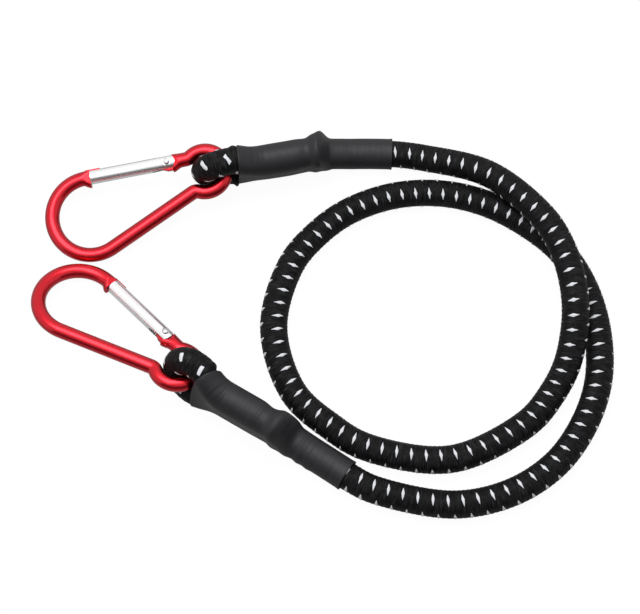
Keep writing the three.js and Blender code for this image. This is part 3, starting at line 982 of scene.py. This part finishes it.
def rod_places():
    """Points and headings along the rod, from the nose to the hinge."""
    along_spine = Vector((math.cos(spine_slope), -math.sin(spine_slope)))
    off_spine = Vector((math.sin(spine_slope), math.cos(spine_slope)))
    reach = small_radius + notch_radius
    offset = bow_centre + off_spine * (bow_radius + notch_radius) - small_centre
    back = offset.dot(along_spine)
    spine_length = -back - math.sqrt(back * back - offset.length_squared + reach * reach)
    notch = small_centre + offset + along_spine * spine_length
    notch_angle = math.atan2(notch.y - small_centre.y, notch.x - small_centre.x)
    neck_drop = notch_radius + small_centre.y
    neck = Vector((small_centre.x - math.sqrt(reach * reach - neck_drop * neck_drop), -notch_radius))
    neck_angle = math.atan2(neck.y - small_centre.y, neck.x - small_centre.x)
    spine_angle = math.pi / 2 - spine_slope
    concave = hinge_setback + hinge_clearance
    shoulder = rivet_x + math.sqrt(concave * concave - gate_radius * gate_radius)
    half_turn = math.pi / 2
    nose = []
    for k in range(nose_steps):
        nose.append((Vector((-bow_setback * k / nose_steps, 0)), math.pi))
    bow = bend(bow_centre, bow_radius, -half_turn, spine_angle - 2 * math.pi, bow_steps)
    turned = -half_turn - spine_slope
    turn_in = bend(notch, notch_radius, turned, notch_angle - math.pi, notch_steps)
    spine = []
    for k in range(1, spine_steps):
        spine.append((bow[-1][0].lerp(turn_in[0][0], k / spine_steps), bow[-1][1]))
    small = bend(small_centre, small_radius, notch_angle, neck_angle, small_steps)[1:]
    turn_out = bend(neck, notch_radius, neck_angle + math.pi, half_turn, neck_steps)[1:]
    heel = []
    for k in range(1, heel_steps + 1):
        heel.append((turn_out[-1][0].lerp(Vector((shoulder, 0)), k / heel_steps), math.pi))
    return nose + bow + spine + turn_in + small + turn_out + heel


def ring_at(point, heading, gap):
    """Rod section at a place, thinned and lipped where the gate meets it."""
    flare = 1 - ease(gap / flare_length)
    inner = mix(rod_radius, flare_inner, flare)
    outer = mix(rod_radius, flare_outer, flare)
    milled = flare_half + gap * milled_slope
    ring = []
    for k in range(rod_sides):
        angle = 2 * math.pi * (k + 0.5) / rod_sides
        aside = math.cos(angle) * (inner if math.cos(angle) > 0 else outer)
        height = min(max(math.sin(angle) * rod_radius, -milled), milled)
        x = point.x + math.sin(heading) * aside
        y = point.y - math.cos(heading) * aside
        ring.append(Vector((x, y, height)))
    return ring


def make_rod():
    """One ring of edges, extruded from place to place along the rod."""
    places = rod_places()
    nose = places[0][0]
    heel = places[-1][0]
    bm = bmesh.new()
    made = bmesh.ops.create_circle(bm, segments=rod_sides, radius=rod_radius)
    edges = list(bm.edges)
    verts = made["verts"]
    for n, (point, heading) in enumerate(places):
        gap = min((point - nose).length, (point - heel).length)
        if n:
            grown = bmesh.ops.extrude_edge_only(bm, edges=edges)["geom"]
            edges = [part for part in grown if isinstance(part, bmesh.types.BMEdge)]
            edges = [edge for edge in edges if edge.is_boundary]
            fresh = grown_verts(grown)
            verts = [follower(vert, fresh) for vert in verts]
        for vert, place in zip(verts, ring_at(point, heading, gap)):
            vert.co = place
    close_tube(bm)
    return bm


def grown_verts(geometry):
    return {part for part in geometry if isinstance(part, bmesh.types.BMVert)}


def follower(vert, fresh):
    """The new vertex that an extruded one is joined to."""
    others = [edge.other_vert(vert) for edge in vert.link_edges]
    return next(other for other in others if other in fresh)


def plate(outline, thickness, edge):
    """A flat outline raised to a thickness, with its edges broken."""
    bm = bmesh.new()
    verts = [bm.verts.new((x, y, -thickness / 2)) for x, y in outline]
    face = bm.faces.new(verts)
    grown = bmesh.ops.extrude_face_region(bm, geom=[face])["geom"]
    bmesh.ops.translate(bm, verts=list(grown_verts(grown)), vec=(0, 0, thickness))
    bmesh.ops.recalc_face_normals(bm, faces=bm.faces)
    break_edges(bm, edge)
    return bm


def break_edges(bm, width):
    sharp = [edge for edge in bm.edges if edge.calc_face_angle(0) > broken_angle]
    bmesh.ops.bevel(
        bm, geom=sharp, offset=width, affect="EDGES", segments=2, profile=0.5, material=-1
    )


def box_between(x0, x1, y0, y1, thickness, edge):
    """A block centred on the plane of the carabiner."""
    return plate([(x0, y0), (x1, y0), (x1, y1), (x0, y1)], thickness, edge)


def cylinder(radius, length, sides, matrix):
    """A round solid, placed by its matrix."""
    bm = bmesh.new()
    bmesh.ops.create_cone(
        bm, cap_ends=True, segments=sides, radius1=radius, radius2=radius, depth=length, matrix=matrix
    )
    return bm


def pin(x, radius, z0, z1):
    """An upright round pin."""
    return cylinder(radius, z1 - z0, pin_sides, Matrix.Translation((x, 0, (z0 + z1) / 2)))


def bar_along(x0, x1, radius, sides=pin_sides):
    """A round bar along the gate."""
    place = Matrix.Translation(((x0 + x1) / 2, 0, 0))
    return cylinder(radius, x1 - x0, sides, place @ lying_along)


def carve(bm, jobs):
    """Joins or cuts a mesh with others, one after another."""
    blank = object_of(bm, "scratch")
    helpers = []
    for operation, other in jobs:
        helper = object_of(other, "scratch")
        helpers.append(helper)
        cut = blank.modifiers.new(operation, "BOOLEAN")
        cut.operation = operation
        cut.solver = "EXACT"
        cut.object = helper
    graph = bpy.context.evaluated_depsgraph_get()
    result = bmesh.new()
    result.from_mesh(blank.evaluated_get(graph).to_mesh())
    for made in [blank, *helpers]:
        bpy.data.objects.remove(made)
    return result


def sharpen(made, angle=crisp_angle):
    """Keeps edges over this angle crisp and the rest smooth."""
    made.data.set_sharp_from_angle(angle=angle)


def soften(made, width):
    """Rounds the sharp edges a little."""
    rounding = made.modifiers.new("broken_edges", "BEVEL")
    rounding.width = width
    rounding.segments = 2
    rounding.limit_method = "ANGLE"
    rounding.angle_limit = softened_angle


def laid_piece(bm, end, name, body, material):
    """A flat-drawn piece, laid in its end's eye."""
    bmesh.ops.transform(bm, matrix=end.laid(), verts=bm.verts)
    return piece_of(bm, name + end.name, body + end.name, material)


def make_body(end):
    tongue_root = rivet_x + hinge_setback + hinge_clearance + cut_over
    tongue = plate(
        [
            (rivet_x - tongue_reach, -tongue_half_width),
            (tongue_root, -tongue_half_width),
            (tongue_root, tongue_heel),
            (rivet_x, tongue_heel),
            (rivet_x - tongue_reach, tongue_half_width),
        ],
        tongue_thickness,
        tongue_edge,
    )
    tab = box_between(
        -flare_length / 2, nose_tab_length, -nose_tab_bottom, nose_tab_top,
        tongue_thickness, tongue_edge,
    )
    tall = rod_radius + cut_over
    bm = carve(
        make_rod(),
        [
            ("DIFFERENCE", pin(rivet_x, hinge_setback + hinge_clearance, -tall, tall)),
            ("UNION", tongue),
            ("UNION", tab),
            ("DIFFERENCE", pin(rivet_x, rivet_radius + rivet_clearance, -tall, tall)),
        ],
    )
    rod = laid_piece(bm, end, "carabiner_rod_", "carabiner_", red_anodised)
    sharpen(rod)
    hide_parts("carabiner_body_" + end.name)


def gate_place(point):
    """Places along the gate and round it."""
    return point.x, math.atan2(point.z, point.y) * gate_radius


def make_gate(end):
    half = gate_radius + cut_over
    slot = tongue_thickness + 2 * gate_clearance
    slot_end = rivet_x - tongue_reach - slot_margin
    bore_back = spring_back - gate_clearance
    rim = math.asin(gate_radius / hinge_setback)
    heel = [(gate_clearance, -half)]
    for k in range(rim_steps + 1):
        angle = mix(-rim, rim, k / rim_steps)
        heel.append((rivet_x + hinge_setback * math.cos(angle), hinge_setback * math.sin(angle)))
    heel.insert(1, (heel[1][0], -half))
    heel.append((heel[-1][0], half))
    heel.append((gate_clearance, half))
    seat = gate_radius - rivet_seat_depth
    seat_radius = rivet_head_radius + rivet_clearance
    bar = bar_along(gate_clearance - cut_over, gate_span + cut_over, gate_radius, gate_sides)
    cuts = [
        bar_along(bore_back, gate_span + cut_over, bore_radius),
        box_between(slot_end, gate_span + cut_over, -half, half, slot, 0),
        box_between(slot_end - window_length, slot_end + cut_over, 0, half, window_width, 0),
        box_between(
            gate_clearance - cut_over, nose_tab_length + 2 * gate_clearance,
            -half, nose_tab_top + gate_clearance, slot, 0,
        ),
        pin(rivet_x, rivet_radius + rivet_clearance, -half, half),
        pin(rivet_x, seat_radius, seat, half),
        pin(rivet_x, seat_radius, -half, -seat),
    ]
    ends_cut = ("INTERSECT", plate(heel, 2 * half, 0))
    bm = carve(bar, [ends_cut, *[("DIFFERENCE", cut) for cut in cuts]])
    write_uv(bm, gate_place)
    gate = laid_piece(bm, end, "gate_bar_", "gate_arm_", bright_aluminium)
    sharpen(gate)
    soften(gate, gate_edge)
    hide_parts("gate_" + end.name)


def spun(profile, axis):
    """Turns a profile of (radius, height) round its axis."""
    bm = bmesh.new()
    verts = [bm.verts.new((radius, 0, height)) for radius, height in profile]
    edges = [bm.edges.new(pair) for pair in zip(verts, verts[1:])]
    bmesh.ops.spin(
        bm, geom=[*verts, *edges], cent=(0, 0, 0), axis=(0, 0, 1), angle=2 * math.pi,
        steps=spin_steps, use_merge=True,
    )
    weld(bm)
    bmesh.ops.transform(bm, matrix=axis, verts=bm.verts)
    return bm


def make_rivet(end):
    under = gate_radius - rivet_seat_depth + rivet_clearance
    half_head = [(rivet_radius, under), (rivet_head_radius, under)]
    for k in range(head_steps + 1):
        angle = math.pi / 2 * k / head_steps
        height = rivet_rim + 2 * rivet_head_height * math.sin(angle)
        half_head.append((rivet_head_radius * math.cos(angle), under + height))
    other_head = [(radius, -height) for radius, height in reversed(half_head)]
    bm = spun(other_head + half_head, Matrix.Translation((rivet_x, 0, 0)))
    rivet = laid_piece(bm, end, "hinge_rivet_", "gate_arm_", plain_steel)
    sharpen(rivet, crisp_round_angle)
    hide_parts("gate_rivet_" + end.name)


def make_plunger(end):
    edge = plunger_length - plunger_dome
    profile = [(0, 0), (plunger_radius, 0), (plunger_radius, edge)]
    for k in range(1, dome_steps + 1):
        angle = math.pi / 2 * k / dome_steps
        profile.append((plunger_radius * math.cos(angle), edge + plunger_dome * math.sin(angle)))
    bm = spun(profile, Matrix.Translation((plunger_back, 0, 0)) @ lying_along)
    plunger = laid_piece(bm, end, "spring_plunger_", "plunger_", plain_steel)
    sharpen(plunger, crisp_round_angle)
    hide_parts("gate_plunger_" + end.name)


def make_spring(end):
    radius = (spring_diameter - spring_wire) / 2
    points = []
    count = spring_curls * curl_steps
    for k in range(count + 1):
        angle = 2 * math.pi * spring_curls * k / count
        x = spring_back + spring_wire / 2 + spring_curls * spring_pitch * k / count
        points.append(Vector((x, radius * math.cos(angle), radius * math.sin(angle))))
    sides = [Vector((1, 0, 0))] * len(points)
    line = Line(points, sides)
    bm = bmesh.new()
    flat_grid(bm, line.length, math.pi * spring_wire, count, wire_sides)
    write_uv(bm)
    wrap_round(bm, line, spring_wire / 2)
    close_tube(bm)
    spring = laid_piece(bm, end, "wound_spring_", "gate_arm_", plain_steel)
    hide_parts("gate_spring_" + end.name)
    laid = end.laid()
    1 - plunger_travel / (spring_front - spring_back)
    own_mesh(spring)


for end in ends:
    make_eye(end)
    make_sleeve(end)
    make_clamp(end)
    make_body(end)
    make_gate(end)
    make_rivet(end)
    make_plunger(end)
    make_spring(end)


# Floor, background and lights
floor_size = (6, 6)
floor_glow = 1.2
floor_glow_share = 0.8
floor_mirrored_share = 0.3
card_size = (2.6, 1)
card_place = (0.1, -0.9, 0.5)
plain_sky_share = 0.35


def seen_share(nodes, mirrored):
    """How far the camera, a polished face or a clear one sees plain white instead of light."""
    rays = [
        nodes.node("ShaderNodeLightPath", {}, [], ray)
        for ray in ("Is Camera Ray", "Is Glossy Ray", "Is Transmission Ray")
    ]
    return rays[0].math("MAXIMUM", (rays[1] * mirrored).math("MAXIMUM", rays[2]))


def stage_piece(name, material, matrix, size):
    bm = bmesh.new()
    bmesh.ops.create_grid(bm, x_segments=1, y_segments=1, size=unit_half)
    bmesh.ops.transform(bm, matrix=matrix @ Matrix.Diagonal((*size, 1, 1)), verts=bm.verts)
    made = object_of(bm, name)
    made.data.materials.append(material)
    return made


def make_floor():
    paper = Finish("white_paper", Roughness=0.9, Base_Color=floor_grey)
    white = {"Color": plain_white, "Strength": floor_glow}
    glow = paper.node("ShaderNodeEmission", {}, white)
    plain = Value(paper, paper.shader.outputs[0])
    share = seen_share(paper, floor_mirrored_share) * floor_glow_share
    shown = paper.node("ShaderNodeMixShader", {}, [share, plain, glow])
    paper.tree.links.new(shown.socket, paper.tree.nodes["Material Output"].inputs["Surface"])
    stage_piece("floor", paper.material, Matrix.Translation((0, 0, -floor_drop)), floor_size)


def make_front_card():
    """A dark card out of view at the front, which bright metal shows as a soft dark band."""
    card = Finish("dark_card", Roughness=0.9)
    height = card.split(card.object_place())[2]
    card.drive(Base_Color=card.blend(height, *card_greys))
    upright = Matrix.Translation(card_place) @ Matrix.Rotation(math.pi / 2, 4, "X")
    made = stage_piece("front_card", card.material, upright, card_size)
    made.visible_camera = False
    made.visible_diffuse = False
    made.visible_shadow = False


def make_world():
    """White all round for what is looked at, and a plain lower level for the light itself."""
    world = bpy.data.worlds.new("studio")
    world.use_nodes = True
    bpy.context.scene.world = world
    studio = Nodes(world.node_tree)
    sky = studio.tree.nodes["Background"]
    sky.inputs["Color"].default_value = plain_white
    strength = seen_share(studio, 1) * (1 - plain_sky_share) + plain_sky_share
    studio.tree.links.new(strength.socket, sky.inputs["Strength"])


def make_lamp(name, place, target, size, power):
    data = bpy.data.lights.new(name, "AREA")
    data.shape = "RECTANGLE"
    data.size, data.size_y = size
    data.energy = power
    lamp = put(name, data)
    lamp.location = place
    lamp.rotation_euler = (Vector(target) - Vector(place)).to_track_quat("-Z", "Y").to_euler()
    return lamp


make_floor()
make_front_card()
make_world()
softbox = make_lamp(
    "overhead_softbox", place=(-0.1, 0.2, 1), target=(0.05, 0, 0), size=(1, 0.6), power=9
)
softbox.visible_camera = False
